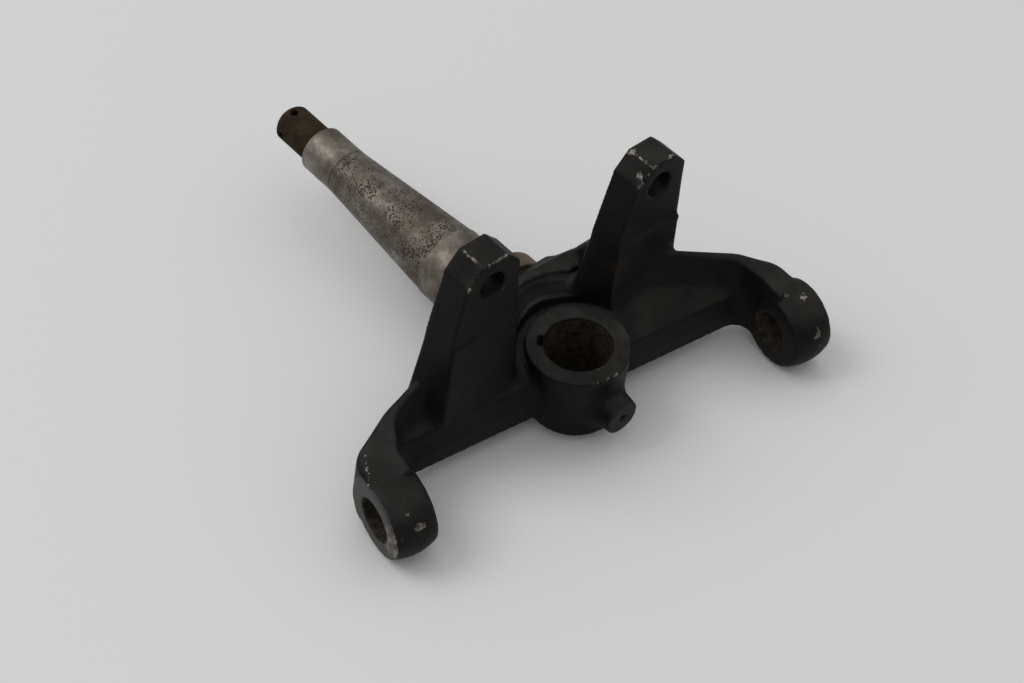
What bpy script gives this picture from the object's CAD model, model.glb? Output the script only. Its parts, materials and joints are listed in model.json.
import json
import math

import bmesh
import bpy
import numpy as np
from mathutils import Matrix, Vector


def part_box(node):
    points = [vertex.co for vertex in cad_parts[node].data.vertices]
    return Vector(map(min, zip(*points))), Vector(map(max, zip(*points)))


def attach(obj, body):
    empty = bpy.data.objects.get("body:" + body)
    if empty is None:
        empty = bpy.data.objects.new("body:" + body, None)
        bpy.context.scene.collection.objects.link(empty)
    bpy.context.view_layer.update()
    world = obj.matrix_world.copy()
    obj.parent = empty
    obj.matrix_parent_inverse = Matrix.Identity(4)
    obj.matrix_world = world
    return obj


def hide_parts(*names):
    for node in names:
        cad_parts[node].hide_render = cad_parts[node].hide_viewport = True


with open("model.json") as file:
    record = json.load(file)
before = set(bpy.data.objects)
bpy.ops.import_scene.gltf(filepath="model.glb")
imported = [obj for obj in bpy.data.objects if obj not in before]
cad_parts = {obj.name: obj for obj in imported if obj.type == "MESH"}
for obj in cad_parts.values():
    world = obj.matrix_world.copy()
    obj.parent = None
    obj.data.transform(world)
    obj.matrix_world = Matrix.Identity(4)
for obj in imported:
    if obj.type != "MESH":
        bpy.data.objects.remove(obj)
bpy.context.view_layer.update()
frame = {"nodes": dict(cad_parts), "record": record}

scene = bpy.context.scene
NODE = "steering_knuckle"
MM = 0.001

MOUNTS = {mount["name"]: mount for mount in frame["record"]["mounts"]}
KNUCKLE_LOW, KNUCKLE_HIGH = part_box(NODE)


# ---------------------------------------------------------------- sizes, in metres
def pin_ends(name):
    """Start, end and radius of a journal on the stub axle."""
    mount = MOUNTS[name]
    half = mount["dims"]["length_mm"] * MM / 2
    middle = mount["pos_m"][1]
    return middle - half, middle + half, mount["dims"]["r_mm"] * MM


# ---- stub axle along +Y: the journals come from the record
INNER_START, INNER_END, INNER_R = pin_ends("inner_bearing_journal")
OUTER_START, OUTER_END, OUTER_R = pin_ends("outer_bearing_journal")
TIP = KNUCKLE_HIGH.y
LAND_START = INNER_START - 0.0105
CUT_BEFORE_LAND = 0.0001
LAND_R = 0.0275
LAND_FRONT_CHAMFER = 0.0005
LAND_REAR_CHAMFER = 0.0007
PLUG_R = 0.0200
PLUG_DEPTH = 0.004
ROOT_HEIGHT = 0.0015
ROOT_STEP = 0.0004
TAPER_STEP = 0.0004
TAPER_R = INNER_R - TAPER_STEP
OUTER_CHAMFER = 0.0008
THREAD_R = 0.0100
THREAD_PITCH = 0.0015
THREAD_DEPTH = 0.00085
THREAD_FLANK = 1.25
THREAD_LAND = 0.12
RELIEF_WIDTH = 0.0024
RELIEF_PLAIN = 0.5
RUN_IN_FROM = 0.4
TIP_CHAMFER = 0.0020
TIP_CHAMFER_SLOPE = 0.95
CENTRE_R = 0.0025
CENTRE_DEPTH = 0.007
CENTRE_TAPER = 0.6
CENTRE_SHARE = 0.5
SPLIT_PIN_R = 0.0021
SPLIT_PIN_FROM_TIP = 0.0052
SPLIT_PIN_ANGLE = math.radians(95)
SPLIT_PIN_CUTTER = 0.03

# ---- keyed bore and the ring round its top
BORE_R = MOUNTS["keyed_bore"]["dims"]["r_mm"] * MM
RING_R = 0.02375
RING_TOP = 0.022
SPOT_R = 0.0285
SPOT_FLOOR = 0.0175
KEY_ANGLE = math.radians(133)
KEY_WIDTH = 0.0060
KEY_DEPTH = 0.0028

# ---- lugs: places are those of the right lug, and the left one is LUG_SPACING away
LUG_PAD = MOUNTS["caliper_pad"]["pos_m"][1]
LUG_REAR = 0.0258
LUG_PAD_BOTTOM = 0.0555
LUG_TOP = KNUCKLE_HIGH.z
LUG_FLAT_START = 0.0455
LUG_FLAT_END = 0.0585
LUG_SHOULDER = (0.0374, 0.0865)
LUG_RIGHT = 0.0658
LUG_RIGHT_SHOULDER = 0.0874
LUG_FRONT_LEFT = 0.0296
LUG_REAR_LEFT = 0.0272
LUG_HOLE_R = MOUNTS["caliper_bolts"]["dims"]["hole_r_mm"] * MM
LUG_HOLE_Z = MOUNTS["caliper_bolts"]["pos_m"][2]
LUG_SPACING = MOUNTS["caliper_bolts"]["dims"]["spacing_x_mm"] * MM
LUG_MIDDLE = MOUNTS["caliper_bolts"]["pos_m"][0]
HEAD_INSET = 0.0006

# ---- front boss, and end bosses with their tapers
FRONT_FACE = -0.0315
FRONT_BOSS_R = 0.0087
BOSS_LENGTH = 0.0212
TAPER_BORE_R = 0.0103
BOSS_R = 0.0205
END_BOSSES = ("lower_ball_joint", "upper_ball_joint")

# ---- hump between the lugs: each row has its y, its drop from the crest and its half width
HUMP_CREST = 0.0322
HUMP_CROWN_R = 0.190
HUMP_ROWS = ((0.030, 0.0, 0.040), (0.0405, 0.0005, 0.038), (0.0475, 0.0085, 0.027))
HUMP_BASE = 0.010
HUMP_STEPS = 8
BOWL_R = 0.0365

# ---- heel that sweeps up behind the right lug: y, left end and height of its top and foot
HEEL_TOP = (LUG_REAR, 0.0274, 0.0500)
HEEL_FOOT = (0.0385, 0.0310, 0.0318)
HEEL_RIGHT = 0.045

# ---- how far beside a machined surface its look and its crisp form reach
MARGIN = 0.001
SPOT_MARGIN = 0.0006
BORE_MARGIN = 0.005
PAD_MARGIN = 0.003
HOLE_MARGIN = 0.0012
FRONT_MARGIN = 0.002
END_FACE_MARGIN = 0.0012
END_FACE_REACH = 0.023
LAND_MARGIN = 0.003

MOST_TRIANGLES = 185000
VOXEL = 0.0008
MERGE_DISTANCE = 1e-6
EASE_ROUNDS = 1
ROUND_ROUNDS = 10
BLEND_ROUNDS = 64
FILL_SHARE = 1.2
WEAR_SHARE = 0.8
MASK_ROUNDS = 3
AXLE_STEPS = 192
AXLE_ROW = 0.004
ROWS_PER_TURN = 10
HOLE_SIDES = 64
CUTTER_LENGTH = 0.1
SHARP_ANGLE = math.radians(35)

# ---- wear: places on the part, and how far each mark reaches
SCUFF_SPREAD = 2.2
SCUFF_STRENGTH = 0.86
LUG_EDGE_REACH = 0.0034
RIDGE_WEAR = 0.80
CREST_WEAR = 0.88
SHOULDER_WEAR = 0.84
NECK_EDGE = ((-0.106, 0.0175, 0.020), (-0.118, 0.000, 0.018))
NECK_REACH = 0.0028
NECK_WEAR = 0.82
RING_EDGE_REACH = 0.004
RING_WEAR = 0.85
RING_WORN_ANGLE = -100
RING_WORN_HALF = (14, 34)
BOSS_EDGE_INSET = 0.0025
BOSS_EDGE_REACH = 0.0035
BOSS_EDGE_WEAR = 0.55
FACE_DEPTH = 0.0008
FACE_SHINE = {"lower_ball_joint": 0.0, "upper_ball_joint": 0.18}
BRIGHT_RIM = ((-0.1215, -0.0220, 0.0), 0.019)
FRONT_FACE_DEPTH = 0.0006
FRONT_FACE_SHARE = 0.2
RUST_IN_BORE = 0.0008
RUST_IN_TAPER = 0.0006
RUST_TAPER_END = 0.03
SCUFFS = [
    ((0.0984, -0.0568, 0.0081), 0.0050),
    ((0.1000, -0.0560, 0.0030), 0.0030),
    ((0.1008, -0.0425, 0.0200), 0.0028),
    ((0.0885, -0.0557, 0.0013), 0.0016),
    ((0.0945, -0.0374, 0.0211), 0.0020),
    ((-0.1102, -0.0259, 0.0085), 0.0050),
    ((-0.1140, -0.0205, 0.0149), 0.0018),
    ((-0.1191, -0.0193, 0.0137), 0.0015),
    ((-0.1196, -0.0241, 0.0063), 0.0018),
    ((-0.0162, -0.0045, 0.0220), 0.0010),
    ((-0.0030, -0.0166, 0.0220), 0.0012),
    ((-0.0381, 0.0100, 0.0756), 0.0010),
    ((-0.0495, 0.0100, 0.0725), 0.0014),
    ((0.0407, 0.0135, 0.0900), 0.0032),
    ((0.0455, 0.0240, 0.0950), 0.0030),
]
BROWN_TINTS = [
    ((0.0313, 0.0086, 0.0455), 0.010),
    ((0.0385, 0.0100, 0.0870), 0.006),
    ((-0.0553, 0.0100, 0.0872), 0.006),
    ((0.0222, -0.0071, 0.0220), 0.003),
    ((0.0640, -0.0050, 0.0200), 0.012),
]

# ---- colours, as linear light
BLACK_PAINT = (0.0022, 0.0021, 0.0021)
DUSTY_PAINT = (0.0265, 0.0252, 0.0228)
CHIP_STEEL = (0.23, 0.21, 0.185)
CHIP_DULL = (0.070, 0.056, 0.044)
FACE_STEEL = (0.050, 0.049, 0.048)
BARE_STEEL = (0.250, 0.228, 0.198)
DULL_STEEL = (0.125, 0.109, 0.090)
LAND_BROWN = (0.085, 0.062, 0.036)
STAIN_BROWN = (0.058, 0.041, 0.028)
PIT_BROWN = (0.023, 0.0130, 0.0080)
BORE_BROWN = (0.044, 0.033, 0.023)
RUST_BROWN = (0.032, 0.0215, 0.0145)
RUST_DARK = (0.0115, 0.0085, 0.0062)
THREAD_DARK = (0.009, 0.0055, 0.0030)
THREAD_BROWN = (0.028, 0.0140, 0.0070)
THREAD_OLIVE = (0.030, 0.024, 0.0110)
THREAD_CREST = (0.072, 0.048, 0.026)
FLOOR_GREY = (0.63, 0.63, 0.628)

# ---- floor and light: the room's light at the horizon and overhead, and one lamp in watts
FLOOR_HALF = 6.0
FOOT_X = 0.08
FOOT_Y = 0.045
SETTLE_ROUNDS = 6
HORIZON = 0.10
ZENITH = 1.00
ZENITH_FROM = 0.9
LAMP_PLACE = Vector((-1.9, 2.3, 3.4))
LAMP_TARGET = Vector((0, 0.02, 0))
LAMP_SIZE = 2.6
LAMP_POWER = 56

# ---- camera: place, angles, focal length and frame in pixels, and sensor in millimetres
CAMERA = Vector((-0.3902, -0.3666, 0.6355))
AZIMUTH = math.radians(43.62)
ELEVATION = math.radians(48.99)
ROLL = math.radians(3.72)
FOCAL_PX = 1835.4
FRAME_PX = 1024
SENSOR = 36.0
CLIP = (0.01, 50)


# ---------------------------------------------------------------- mesh helpers
def new_object(name, mesh):
    """An object in the scene that shows a mesh."""
    made = bpy.data.objects.new(name, mesh)
    scene.collection.objects.link(made)
    return made


def apply_modifiers(piece):
    """Replaces a piece's mesh with the one that its modifiers make."""
    graph = bpy.context.evaluated_depsgraph_get()
    graph.update()
    mesh = bpy.data.meshes.new_from_object(piece.evaluated_get(graph))
    piece.modifiers.clear()
    piece.data = mesh


def points_of(mesh):
    """The places of a mesh's points, one row each."""
    flat = np.empty(len(mesh.vertices) * 3)
    mesh.vertices.foreach_get("co", flat)
    return flat.reshape(-1, 3)


def normals_of(mesh):
    """The direction out of the surface at each point."""
    flat = np.empty(len(mesh.vertices) * 3)
    mesh.vertex_normals.foreach_get("vector", flat)
    return flat.reshape(-1, 3)


def set_points(mesh, points):
    """Moves a mesh's points to new places."""
    mesh.vertices.foreach_set("co", points.ravel())
    mesh.update()


def edges_of(mesh):
    """The two points of each edge."""
    flat = np.empty(len(mesh.edges) * 2, dtype=np.int64)
    mesh.edges.foreach_get("vertices", flat)
    return flat.reshape(-1, 2)


def relaxed(points, edges, rounds):
    """Points moved towards the mean of their neighbours, a number of times."""
    count = len(points)
    valence = np.bincount(edges.ravel(), minlength=count).astype(float)[:, None]
    out = points.copy()
    for _ in range(rounds):
        total = np.empty_like(out)
        for axis in range(3):
            total[:, axis] = np.bincount(edges[:, 0], out[edges[:, 1], axis], count)
            total[:, axis] += np.bincount(edges[:, 1], out[edges[:, 0], axis], count)
        out += 0.5 * (total / valence - out)
    return out


def smoothstep(value, low, high):
    """0 below low, 1 above high, and a smooth curve between."""
    t = np.clip((value - low) / (high - low), 0, 1)
    return t * t * (3 - 2 * t)


# ---------------------------------------------------------------- masks on the forging
def boss_distance(points, name):
    """Distance along a ball joint's axis inwards from its outer face, and from that axis."""
    mount = MOUNTS[name]
    axis = np.array(mount["axis"])
    offset = points - np.array(mount["pos_m"])
    along = -(offset @ axis)
    across = np.linalg.norm(offset + along[:, None] * axis, axis=1)
    return along, across


def machined(points):
    """True where the surface is turned, milled or bored, and not as forged."""
    x, y, z = points.T
    radius = np.hypot(x, y)
    spot = (radius < SPOT_R + SPOT_MARGIN) & (z > SPOT_FLOOR - MARGIN)
    bore = radius < BORE_R + BORE_MARGIN
    head = z > LUG_PAD_BOTTOM - PAD_MARGIN
    front = (y < FRONT_FACE + MARGIN) & (np.hypot(x, z) < FRONT_BOSS_R + FRONT_MARGIN)
    found = spot | bore | head | front
    for side in (-0.5, 0.5):
        middle = LUG_MIDDLE + side * LUG_SPACING
        found |= np.hypot(x - middle, z - LUG_HOLE_Z) < LUG_HOLE_R + HOLE_MARGIN
    for name in END_BOSSES:
        along, across = boss_distance(points, name)
        found |= (np.abs(along) < END_FACE_MARGIN) & (across < END_FACE_REACH)
        inside = (along > -MARGIN) & (along < BOSS_LENGTH + MARGIN)
        found |= inside & (across < TAPER_BORE_R + MARGIN)
    return found


# ---------------------------------------------------------------- the forging
def object_from(name, work):
    """An object from a bmesh, which is freed."""
    mesh = bpy.data.meshes.new(name)
    work.to_mesh(mesh)
    work.free()
    return new_object(name, mesh)


def hull(name, corners):
    """A convex solid round a few points."""
    work = bmesh.new()
    made = [work.verts.new(corner) for corner in corners]
    bmesh.ops.convex_hull(work, input=made)
    return object_from(name, work)


def cut_out(piece, cutter):
    """Takes one solid away from another."""
    cut = piece.modifiers.new("cut", "BOOLEAN")
    cut.operation = "DIFFERENCE"
    cut.solver = "EXACT"
    cut.object = cutter
    apply_modifiers(piece)
    bpy.data.objects.remove(cutter)


def drill(piece, centre, direction, radius, length=CUTTER_LENGTH):
    """Cuts a round hole through a piece."""
    work = bmesh.new()
    bmesh.ops.create_cone(
        work, cap_ends=True, segments=HOLE_SIDES, radius1=radius, radius2=radius, depth=length
    )
    turn = direction.to_track_quat("Z", "Y").to_matrix().to_4x4()
    bmesh.ops.transform(work, matrix=Matrix.Translation(centre) @ turn, verts=work.verts[:])
    cut_out(piece, object_from("drill", work))


def lug_head(shift):
    """The upper part of a lug with its milled faces and crisp edges, and its bolt hole."""
    corners = []
    for y, left in ((LUG_PAD, LUG_FRONT_LEFT), (LUG_REAR, LUG_REAR_LEFT)):
        outline = [
            (LUG_FLAT_START, LUG_TOP),
            (LUG_FLAT_END, LUG_TOP),
            (LUG_RIGHT, LUG_RIGHT_SHOULDER),
            (LUG_RIGHT - HEAD_INSET, LUG_PAD_BOTTOM),
            (left + HEAD_INSET, LUG_PAD_BOTTOM),
            LUG_SHOULDER,
        ]
        corners += [(x + shift, y, z) for x, z in outline]
    head = hull("lug_head", corners)
    middle = LUG_MIDDLE + LUG_SPACING / 2 + shift
    drill(head, Vector((middle, LUG_PAD, LUG_HOLE_Z)), Vector((0, 1, 0)), LUG_HOLE_R)
    return head


def hump_crown():
    """The crowned top of the hump, outside the bowl round the bore."""
    corners = []
    for y, drop, half in HUMP_ROWS:
        for step in range(HUMP_STEPS + 1):
            x = half * (2 * step / HUMP_STEPS - 1)
            corners.append((x, y, HUMP_CREST - drop - x * x / (2 * HUMP_CROWN_R)))
        corners += [(-half, y, HUMP_BASE), (half, y, HUMP_BASE)]
    crown = hull("hump_crown", corners)
    drill(crown, Vector((0, 0, HUMP_CREST)), Vector((0, 0, 1)), BOWL_R)
    return crown


def heel():
    """The sweep from the hump up into the rear of the right lug."""
    corners = []
    for y, left, top in (HEEL_TOP, HEEL_FOOT):
        for x in (left, HEEL_RIGHT):
            corners += [(x, y, top), (x, y, HUMP_BASE)]
    return hull("heel", corners)


def cut_keyway(piece):
    """Cuts the keyway with square corners, from under the boss to above the ring."""
    along = Vector((math.cos(KEY_ANGLE), math.sin(KEY_ANGLE), 0))
    across = Vector((-along.y, along.x, 0)) * KEY_WIDTH / 2
    corners = []
    for z in (KNUCKLE_LOW.z, RING_TOP + BORE_R):
        for reach in (0, BORE_R + KEY_DEPTH):
            foot = along * reach + Vector((0, 0, z))
            corners += [foot + across, foot - across]
    cut_out(piece, hull("key_cutter", corners))


def forging_without_axle():
    """The knuckle up to its seal land, with the solids that sharpen and fill it."""
    work = bmesh.new()
    work.from_mesh(frame["nodes"][NODE].data)
    bmesh.ops.remove_doubles(work, verts=work.verts, dist=MERGE_DISTANCE)
    cut = bmesh.ops.bisect_plane(
        work,
        geom=work.verts[:] + work.edges[:] + work.faces[:],
        plane_co=(0, LAND_START - CUT_BEFORE_LAND, 0),
        plane_no=(0, 1, 0),
        clear_outer=True,
    )
    rim = [item for item in cut["geom_cut"] if isinstance(item, bmesh.types.BMEdge)]
    bmesh.ops.edgenet_fill(work, edges=rim)
    for extra in (lug_head(0), lug_head(-LUG_SPACING), hump_crown(), heel()):
        work.from_mesh(extra.data)
        bpy.data.objects.remove(extra)
    return object_from("knuckle_forging", work)


def remesh(piece):
    """Joins all that lies in a piece into one even skin."""
    change = piece.modifiers.new("remesh", "REMESH")
    change.mode = "VOXEL"
    change.voxel_size = VOXEL
    change.use_smooth_shade = True
    apply_modifiers(piece)


def ease(mesh):
    """Fills the corners where forged walls meet, and wears forged edges round."""
    points = points_of(mesh)
    edges = edges_of(mesh)
    normals = normals_of(mesh)
    forged = 1 - machined(points).astype(float)
    forged *= points[:, 1] < LAND_START - LAND_MARGIN
    forged = relaxed(np.repeat(forged[:, None], 3, axis=1), edges, MASK_ROUNDS)[:, 0]
    fine = relaxed(points, edges, EASE_ROUNDS)
    broad = relaxed(points, edges, BLEND_ROUNDS)
    middling = relaxed(points, edges, ROUND_ROUNDS)
    fill = np.einsum("ij,ij->i", broad - fine, normals)
    wear = np.einsum("ij,ij->i", middling - fine, normals)
    move = np.maximum(fill, 0) * FILL_SHARE + np.minimum(wear, 0) * WEAR_SHARE
    set_points(mesh, fine + normals * (move * forged)[:, None])


def thin_out(piece):
    """Brings a piece of quads under the most triangles that it may have."""
    change = piece.modifiers.new("thin", "DECIMATE")
    change.ratio = min(1.0, MOST_TRIANGLES / (2 * len(piece.data.polygons)))
    apply_modifiers(piece)


def forging():
    """The knuckle without its axle: blended where walls meet, and eased along its edges."""
    piece = forging_without_axle()
    remesh(piece)
    ease(piece.data)
    thin_out(piece)
    cut_keyway(piece)
    return piece


# ---------------------------------------------------------------- the stub axle
def axle_profile():
    """Radius and place along Y of the turned axle, from the hidden plug to the thread's relief."""
    thread_root = THREAD_R - THREAD_DEPTH
    return [
        (PLUG_R, LAND_START - PLUG_DEPTH),
        (PLUG_R, LAND_START),
        (LAND_R - LAND_FRONT_CHAMFER, LAND_START),
        (LAND_R, LAND_START + LAND_FRONT_CHAMFER),
        (LAND_R, INNER_START - LAND_REAR_CHAMFER),
        (LAND_R - LAND_REAR_CHAMFER, INNER_START),
        (INNER_R + ROOT_HEIGHT, INNER_START),
        (INNER_R + ROOT_STEP, INNER_START + ROOT_STEP),
        (INNER_R, INNER_START + ROOT_HEIGHT),
        (INNER_R, INNER_END),
        (TAPER_R, INNER_END + TAPER_STEP),
        (OUTER_R, OUTER_START),
        (OUTER_R, OUTER_END - OUTER_CHAMFER),
        (OUTER_R - OUTER_CHAMFER, OUTER_END),
        (thread_root, OUTER_END),
        (thread_root, OUTER_END + RELIEF_WIDTH * RELIEF_PLAIN),
    ]


def subdivided(profile):
    """A profile with its long runs divided into rows of about AXLE_ROW."""
    rows = []
    for (r0, y0), (r1, y1) in zip(profile, profile[1:]):
        parts = max(1, int(abs(y1 - y0) / AXLE_ROW))
        rows += [(r0 + (r1 - r0) * k / parts, y0 + (y1 - y0) * k / parts) for k in range(parts)]
    return rows + [profile[-1]]


def thread_radius(y, angle):
    """Radius of the thread's flank at a place along the axle and an angle round it."""
    turn = (y / THREAD_PITCH - angle / (2 * math.pi)) % 1.0
    ridge = np.clip(THREAD_FLANK * (1 - abs(2 * turn - 1)) - THREAD_LAND, 0, 1)
    chamfer = max(0.0, y - (TIP - TIP_CHAMFER)) * TIP_CHAMFER_SLOPE
    run_in = (y - OUTER_END - RELIEF_WIDTH * RUN_IN_FROM) / (RELIEF_WIDTH * (1 - RUN_IN_FROM))
    radius = THREAD_R - THREAD_DEPTH * (1 - ridge * min(1.0, max(0.0, run_in)))
    return min(radius, THREAD_R - chamfer)


def stub_axle():
    """The turned axle: a lathe form whose end carries a real thread, with its split pin holes."""
    work = bmesh.new()
    angles = [2 * math.pi * k / AXLE_STEPS for k in range(AXLE_STEPS)]

    def ring(y, radii):
        places = [(r * math.cos(a), y, r * math.sin(a)) for r, a in zip(radii, angles)]
        return [work.verts.new(place) for place in places]

    rows = subdivided(axle_profile())
    rings = [ring(y, [r] * AXLE_STEPS) for r, y in rows]
    row_step = THREAD_PITCH / ROWS_PER_TURN
    y = rows[-1][1] + row_step
    while y < TIP:
        rings.append(ring(y, [thread_radius(y, a) for a in angles]))
        y += row_step
    tip_rows = [
        (THREAD_R - TIP_CHAMFER, TIP),
        (CENTRE_R, TIP),
        (CENTRE_R * CENTRE_TAPER, TIP - CENTRE_DEPTH * CENTRE_SHARE),
    ]
    rings += [ring(y, [r] * AXLE_STEPS) for r, y in tip_rows]
    for low, high in zip(rings, rings[1:]):
        for k in range(AXLE_STEPS):
            n = (k + 1) % AXLE_STEPS
            work.faces.new((low[k], high[k], high[n], low[n]))
    work.faces.new(rings[0])
    work.faces.new(list(reversed(rings[-1])))
    bmesh.ops.recalc_face_normals(work, faces=work.faces[:])
    piece = object_from("stub_axle", work)
    for quarter in range(2):
        angle = SPLIT_PIN_ANGLE + quarter * math.pi / 2
        direction = Vector((math.cos(angle), 0, math.sin(angle)))
        centre = Vector((0, TIP - SPLIT_PIN_FROM_TIP, 0))
        drill(piece, centre, direction, SPLIT_PIN_R, SPLIT_PIN_CUTTER)
    return piece


# ---------------------------------------------------------------- materials
class Nodes:
    """A short way to write a node tree."""

    def __init__(self, name):
        self.material = bpy.data.materials.new(name)
        self.material.use_nodes = True
        self.tree = self.material.node_tree
        self.shader = self.tree.nodes["Principled BSDF"]
        self.place = self.tree.nodes.new("ShaderNodeTexCoord").outputs["Object"]

    def node(self, kind, **values):
        """A new node with its settings."""
        made = self.tree.nodes.new(kind)
        for key, value in values.items():
            setattr(made, key, value)
        return made

    def link(self, start, end):
        self.tree.links.new(start, end)

    def feed(self, socket, value):
        """Links a socket to another one, or sets it to a constant."""
        if isinstance(value, bpy.types.NodeSocket):
            self.link(value, socket)
        else:
            socket.default_value = value

    def noise(self, scale, detail=4.0, rough=0.55, distortion=0.0):
        """A cloudy noise fixed to the part."""
        made = self.node("ShaderNodeTexNoise")
        self.link(self.place, made.inputs["Vector"])
        made.inputs["Scale"].default_value = scale
        made.inputs["Detail"].default_value = detail
        made.inputs["Roughness"].default_value = rough
        made.inputs["Distortion"].default_value = distortion
        return made.outputs["Fac"]

    def cells(self, scale):
        """Distance to the nearest of many scattered points."""
        made = self.node("ShaderNodeTexVoronoi")
        self.link(self.place, made.inputs["Vector"])
        made.inputs["Scale"].default_value = scale
        return made.outputs["Distance"]

    def ramp(self, value, low, high, a=0.0, b=1.0):
        """From a to b as the value goes from low to high, smoothly."""
        made = self.node("ShaderNodeMapRange", interpolation_type="SMOOTHSTEP")
        self.feed(made.inputs["Value"], value)
        for key, number in (("From Min", low), ("From Max", high), ("To Min", a), ("To Max", b)):
            made.inputs[key].default_value = number
        return made.outputs["Result"]

    def math(self, kind, a, b=0.0):
        """One step of arithmetic."""
        made = self.node("ShaderNodeMath", operation=kind)
        self.feed(made.inputs[0], a)
        self.feed(made.inputs[1], b)
        return made.outputs[0]

    def plus(self, a, b):
        return self.math("ADD", a, b)

    def minus(self, a, b):
        return self.math("SUBTRACT", a, b)

    def times(self, a, b):
        return self.math("MULTIPLY", a, b)

    def larger(self, a, b):
        return self.math("MAXIMUM", a, b)

    def mix(self, factor, a, b):
        """A colour between two."""
        made = self.node("ShaderNodeMix", data_type="RGBA")
        self.feed(made.inputs["Factor"], factor)
        for socket, value in ((made.inputs[6], a), (made.inputs[7], b)):
            self.feed(socket, value if isinstance(value, bpy.types.NodeSocket) else (*value, 1.0))
        return made.outputs[2]

    def blend(self, factor, a, b):
        """A number between two."""
        made = self.node("ShaderNodeMix", data_type="FLOAT")
        self.feed(made.inputs["Factor"], factor)
        self.feed(made.inputs[2], a)
        self.feed(made.inputs[3], b)
        return made.outputs[0]

    def bump(self, height, distance, strength=1.0, normal=None):
        """A normal that shows a height, over another normal if there is one."""
        made = self.node("ShaderNodeBump")
        made.inputs["Strength"].default_value = strength
        made.inputs["Distance"].default_value = distance
        self.link(height, made.inputs["Height"])
        if normal is not None:
            self.link(normal, made.inputs["Normal"])
        return made.outputs["Normal"]

    def set(self, **sockets):
        """Links or sets the shader's sockets, named with _ for each space."""
        for name, value in sockets.items():
            self.feed(self.shader.inputs[name.replace("_", " ")], value)

    def attribute(self, name):
        """A number that is stored on the mesh."""
        return self.node("ShaderNodeAttribute", attribute_name=name).outputs["Fac"]

    def centred(self, value):
        """A noise moved down so that it varies on both sides of 0."""
        return self.minus(value, 0.5)

    def facing_up(self):
        """How far the surface faces up, from -1 to 1."""
        split = self.node("ShaderNodeSeparateXYZ")
        self.link(self.node("ShaderNodeTexCoord").outputs["Normal"], split.inputs[0])
        return split.outputs[2]

    def along(self, axis):
        """The place along one axis of the part."""
        made = self.node("ShaderNodeSeparateXYZ")
        self.link(self.place, made.inputs[0])
        return made.outputs[axis]


def paint_material():
    """Black paint over the forging, with dust on top, chips, milled faces and rusty bores."""
    m = Nodes("black_paint_over_forging")
    clumps = m.times(m.centred(m.noise(230, 3, 0.55)), 1.3)
    jitter = m.plus(m.centred(m.noise(750, 4, 0.65)), clumps)
    chips = m.ramp(m.plus(m.attribute("worn"), jitter), 0.71, 0.84)
    brown = m.ramp(m.plus(m.attribute("brown"), jitter), 0.25, 1.0)
    bright = m.ramp(m.plus(m.attribute("bright"), m.times(jitter, 0.6)), 0.30, 0.80)
    face = m.attribute("face")
    rusty = m.attribute("rusty")
    bare = m.larger(chips, m.times(face, bright))

    mottle = m.ramp(m.noise(42, 6, 0.68), 0.36, 0.70)
    upward = m.ramp(m.facing_up(), 0.45, 1.0)
    dust = m.times(m.blend(upward, 0.25, 1.0), m.blend(mottle, 0.35, 1.0))
    steel = m.mix(m.ramp(m.noise(330, 4, 0.6), 0.38, 0.62), CHIP_DULL, CHIP_STEEL)
    rust = m.mix(m.ramp(m.noise(280, 5, 0.7), 0.36, 0.68), RUST_DARK, BORE_BROWN)
    colour = m.mix(dust, BLACK_PAINT, DUSTY_PAINT)
    colour = m.mix(face, colour, FACE_STEEL)
    colour = m.mix(m.times(brown, 0.30), colour, RUST_BROWN)
    colour = m.mix(bare, colour, steel)
    colour = m.mix(m.times(rusty, 0.92), colour, rust)

    rough = m.blend(dust, 0.46, 0.66)
    rough = m.blend(chips, rough, 0.50)
    rough = m.blend(rusty, rough, 0.85)
    skin = m.bump(m.noise(900, 3, 0.6), 0.00010, 0.5)
    skin = m.bump(m.noise(210, 5, 0.55), 0.00045, 0.5, skin)
    m.set(Base_Color=colour, Roughness=rough, Metallic=m.times(bare, 0.6), Normal=skin)
    m.set(Specular_IOR_Level=0.09)
    return m.material


def thread_colour(m, x, z):
    """Old rust in the thread's grooves, and worn crests told by their distance from the axis."""
    radius = m.math("SQRT", m.plus(m.times(x, x), m.times(z, z)))
    crest = m.ramp(radius, THREAD_R - THREAD_DEPTH * 0.65, THREAD_R - THREAD_DEPTH * 0.05)
    colour = m.mix(m.ramp(m.noise(240, 5, 0.7), 0.35, 0.62), THREAD_DARK, THREAD_BROWN)
    colour = m.mix(m.ramp(m.noise(90, 3, 0.6), 0.48, 0.62), colour, THREAD_OLIVE)
    worn = m.times(crest, m.ramp(m.noise(150, 3, 0.6), 0.36, 0.6, 0.35, 1.0))
    return m.mix(worn, colour, THREAD_CREST)


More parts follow.
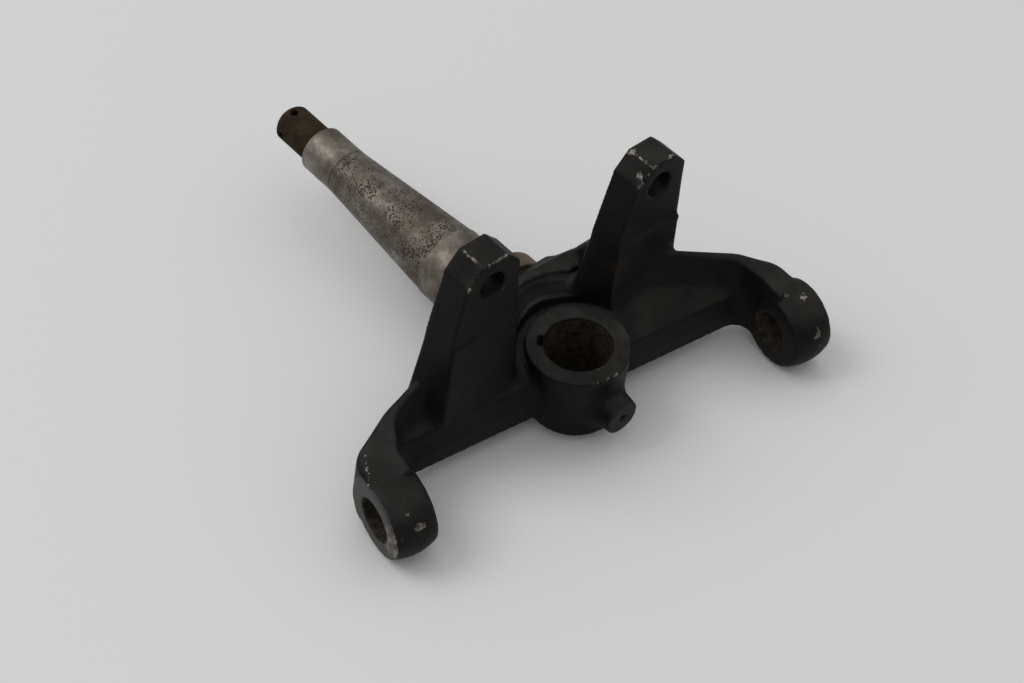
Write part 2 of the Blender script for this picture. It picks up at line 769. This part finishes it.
def steel_material():
    """The turned axle: journals plain, taper pitted and spotted, thread brown with rust."""
    m = Nodes("turned_steel")
    x, y, z = (m.along(axis) for axis in range(3))
    taper = m.times(
        m.ramp(y, INNER_END - 0.001, INNER_END + 0.001),
        m.ramp(y, OUTER_START + 0.003, OUTER_START - 0.004),
    )
    thread = m.ramp(y, OUTER_END - 0.0004, OUTER_END + 0.0006)
    land = m.ramp(y, INNER_START + 0.0006, INNER_START - 0.0004)
    groove = m.times(
        m.ramp(y, OUTER_START - 0.0012, OUTER_START - 0.0004),
        m.ramp(y, OUTER_START + 0.0006, OUTER_START - 0.0002),
    )

    towards_root = m.ramp(y, OUTER_START, INNER_END, 0.0, 0.10)
    on_top = m.ramp(z, -0.004, 0.012, 0.0, 0.06)
    lean = m.plus(towards_root, on_top)
    patch = m.plus(m.noise(70, 4, 0.55), lean)
    grain = m.centred(m.noise(420, 2, 0.5))
    density = m.plus(m.times(m.centred(patch), 1.1), m.times(grain, 0.6))
    pits = m.times(m.ramp(m.minus(density, m.cells(800)), -0.25, -0.13), taper)
    stain = m.ramp(m.plus(m.noise(60, 6, 0.65), lean), 0.46, 0.78)
    stain = m.times(stain, m.blend(taper, 0.70, 0.72))

    cloud = m.ramp(m.noise(42, 6, 0.62, 0.5), 0.38, 0.68)
    mottle = m.ramp(m.noise(170, 5, 0.65), 0.40, 0.66)
    colour = m.mix(cloud, BARE_STEEL, DULL_STEEL)
    colour = m.mix(m.times(mottle, 0.45), colour, STAIN_BROWN)
    colour = m.mix(stain, colour, STAIN_BROWN)
    colour = m.mix(m.times(pits, 0.88), colour, PIT_BROWN)
    colour = m.mix(m.times(groove, 0.6), colour, RUST_DARK)
    colour = m.mix(thread, colour, thread_colour(m, x, z))
    colour = m.mix(m.times(land, 0.75), colour, LAND_BROWN)

    dull = m.larger(m.times(thread, 0.75), m.times(pits, 0.85))
    dull = m.larger(dull, m.times(m.larger(land, stain), 0.5))
    rough = m.blend(thread, m.blend(cloud, 0.46, 0.60), 0.66)
    rough = m.blend(pits, rough, 0.8)
    skin = m.bump(m.minus(m.noise(500, 3, 0.6), m.times(pits, 2.0)), 0.00012, 0.5)
    m.set(Base_Color=colour, Roughness=rough, Metallic=m.minus(0.80, dull), Normal=skin)
    m.set(Specular_IOR_Level=0.2)
    return m.material


# ---------------------------------------------------------------- wear on the forging
def set_attribute(mesh, name, values):
    """Stores one number for each point, for a material to read."""
    layer = mesh.attributes.new(name, "FLOAT", "POINT")
    layer.data.foreach_set("value", np.ascontiguousarray(values, dtype=np.float32))


def marks(points, places):
    """1 at each place, falling in a straight line to 0 at its reach."""
    value = np.zeros(len(points))
    for place, reach in places:
        distance = np.linalg.norm(points - np.array(place), axis=1)
        value = np.maximum(value, 1 - distance / reach)
    return value


def along_edge(points, start, end, reach):
    """1 on the straight edge between two points, falling to 0 at a distance from it."""
    start, end = np.array(start), np.array(end)
    run = end - start
    share = np.clip((points - start) @ run / (run @ run), 0, 1)
    distance = np.linalg.norm(points - start - share[:, None] * run, axis=1)
    return np.clip(1 - distance / reach, 0, 1)


def lug_edges(shift):
    """The worn edges round the cut corner of a lug, with how worn each one is."""
    ridge = (LUG_FLAT_START + shift, LUG_PAD, LUG_TOP)
    ridge_rear = (LUG_FLAT_START + shift, LUG_REAR, LUG_TOP)
    crest_end = (LUG_FLAT_END + shift, LUG_PAD, LUG_TOP)
    shoulder = (LUG_SHOULDER[0] + shift, LUG_PAD, LUG_SHOULDER[1])
    return [
        (ridge, ridge_rear, RIDGE_WEAR),
        (ridge, crest_end, CREST_WEAR),
        (ridge, shoulder, SHOULDER_WEAR),
    ]


def worn_paint(points):
    """How worn the paint is: in scuffs, along edges, and round the rims of ring and bosses."""
    x, y, z = points.T
    scuffs = [(place, SCUFF_SPREAD * reach) for place, reach in SCUFFS]
    layers = [marks(points, scuffs) * SCUFF_STRENGTH]
    layers.append(along_edge(points, *NECK_EDGE, NECK_REACH) * NECK_WEAR)
    for shift in (0, -LUG_SPACING):
        for start, end, strength in lug_edges(shift):
            layers.append(along_edge(points, start, end, LUG_EDGE_REACH) * strength)
    rim = np.hypot(np.hypot(x, y) - RING_R, z - RING_TOP)
    turn = np.abs(np.degrees(np.arctan2(y, x)) - RING_WORN_ANGLE)
    side = 1 - smoothstep(turn, *RING_WORN_HALF)
    layers.append(np.clip(1 - rim / RING_EDGE_REACH, 0, 1) * side * RING_WEAR)
    for name in END_BOSSES:
        along, across = boss_distance(points, name)
        rim = np.hypot(along, across - BOSS_R + BOSS_EDGE_INSET)
        layers.append(np.clip(1 - rim / BOSS_EDGE_REACH, 0, 1) * BOSS_EDGE_WEAR)
    return np.max(layers, axis=0)


def mark_wear(piece):
    """Where the paint is chipped, machined away, stained or rusted."""
    mesh = piece.data
    points = points_of(mesh)
    x, y, z = points.T
    front = (y < FRONT_FACE + FRONT_FACE_DEPTH) & (np.hypot(x, z) < FRONT_BOSS_R + MARGIN)
    rusty = (np.hypot(x, y) < BORE_R + RUST_IN_BORE) & (z < RING_TOP - MARGIN)
    face = np.zeros(len(points))
    bright = np.zeros(len(points))
    for name in END_BOSSES:
        along, across = boss_distance(points, name)
        on_face = (np.abs(along) < FACE_DEPTH) & (across < BOSS_R) & (across > TAPER_BORE_R)
        face = np.maximum(face, on_face)
        bright = np.maximum(bright, on_face * FACE_SHINE[name])
        inside = (along > -MARGIN) & (along < RUST_TAPER_END)
        rusty |= inside & (across < TAPER_BORE_R + RUST_IN_TAPER)
    bright = np.maximum(bright, marks(points, [BRIGHT_RIM]) * face)
    set_attribute(mesh, "worn", worn_paint(points))
    set_attribute(mesh, "brown", marks(points, BROWN_TINTS))
    set_attribute(mesh, "face", np.maximum(face, front * FRONT_FACE_SHARE))
    set_attribute(mesh, "bright", bright)
    set_attribute(mesh, "rusty", rusty)


# ---------------------------------------------------------------- floor, light and camera
def rest_plane():
    """The plane that the knuckle rests on: under both end bosses and the axle's seal land."""
    points = points_of(frame["nodes"][NODE].data)
    feet = [points[:, 0] > FOOT_X, points[:, 0] < -FOOT_X, points[:, 1] > FOOT_Y]
    up = np.array((0.0, 0.0, 1.0))
    for _ in range(SETTLE_ROUNDS):
        lowest = [points[foot][np.argmin(points[foot] @ up)] for foot in feet]
        up = np.cross(lowest[0] - lowest[2], lowest[1] - lowest[2])
        up *= np.sign(up[2]) / np.linalg.norm(up)
    return Vector(lowest[0]), Vector(up)


def stage():
    """A plain pale floor under the knuckle's feet."""
    foot, up = rest_plane()
    across = up.orthogonal().normalized()
    away = up.cross(across)
    signs = ((-1, -1), (1, -1), (1, 1), (-1, 1))
    corners = [foot + across * FLOOR_HALF * i + away * FLOOR_HALF * j for i, j in signs]
    mesh = bpy.data.meshes.new("floor")
    mesh.from_pydata(corners, [], [(0, 1, 2, 3)])
    floor = new_object("floor", mesh)
    m = Nodes("floor")
    m.set(Base_Color=(*FLOOR_GREY, 1), Roughness=0.6, Specular_IOR_Level=0.2)
    floor.data.materials.append(m.material)


def lamp():
    """One large soft lamp, high behind the left arm."""
    data = bpy.data.lights.new("key", "AREA")
    data.shape = "DISK"
    data.size = LAMP_SIZE
    data.energy = LAMP_POWER
    made = bpy.data.objects.new("key", data)
    made.location = LAMP_PLACE
    made.rotation_mode = "QUATERNION"
    made.rotation_quaternion = (LAMP_PLACE - LAMP_TARGET).to_track_quat("Z", "Y")
    scene.collection.objects.link(made)


def room():
    """White light from all round, faint at the horizon and brightest overhead."""
    world = bpy.data.worlds.new("room")
    scene.world = world
    world.use_nodes = True
    tree = world.node_tree
    place = tree.nodes.new("ShaderNodeTexCoord")
    split = tree.nodes.new("ShaderNodeSeparateXYZ")
    tree.links.new(place.outputs["Generated"], split.inputs[0])
    grade = tree.nodes.new("ShaderNodeMapRange")
    grade.interpolation_type = "SMOOTHSTEP"
    grade.inputs["From Min"].default_value = 0.0
    grade.inputs["From Max"].default_value = ZENITH_FROM
    grade.inputs["To Min"].default_value = HORIZON
    grade.inputs["To Max"].default_value = ZENITH
    tree.links.new(split.outputs[2], grade.inputs["Value"])
    back = tree.nodes["Background"]
    back.inputs["Color"].default_value = (1, 1, 1, 1)
    tree.links.new(grade.outputs["Result"], back.inputs["Strength"])


def camera():
    """The camera, turned by its azimuth, elevation and roll."""
    data = bpy.data.cameras.new("camera")
    made = bpy.data.objects.new("camera", data)
    scene.collection.objects.link(made)
    back = Vector(
        (
            -math.sin(AZIMUTH) * math.cos(ELEVATION),
            -math.cos(AZIMUTH) * math.cos(ELEVATION),
            math.sin(ELEVATION),
        )
    )
    level = (-back).cross(Vector((0, 0, 1))).normalized()
    upward = level.cross(-back)
    right = level * math.cos(ROLL) + upward * math.sin(ROLL)
    top = upward * math.cos(ROLL) - level * math.sin(ROLL)
    turn = Matrix((right, top, back)).transposed()
    made.rotation_mode = "QUATERNION"
    made.rotation_quaternion = turn.to_quaternion()
    made.location = CAMERA
    data.sensor_width = SENSOR
    data.lens = FOCAL_PX * SENSOR / FRAME_PX
    data.clip_start, data.clip_end = CLIP
    scene.camera = made


# ---------------------------------------------------------------- the scene
body = forging()
mark_wear(body)
axle = stub_axle()
for piece, material in ((body, paint_material()), (axle, steel_material())):
    piece.data.materials.clear()
    piece.data.materials.append(material)
    piece.data.polygons.foreach_set("use_smooth", [True] * len(piece.data.polygons))
    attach(piece, "root")
    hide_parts(NODE)
axle.data.set_sharp_from_angle(angle=SHARP_ANGLE)
stage()
room()
lamp()
camera()
scene.view_settings.view_transform = "Standard"
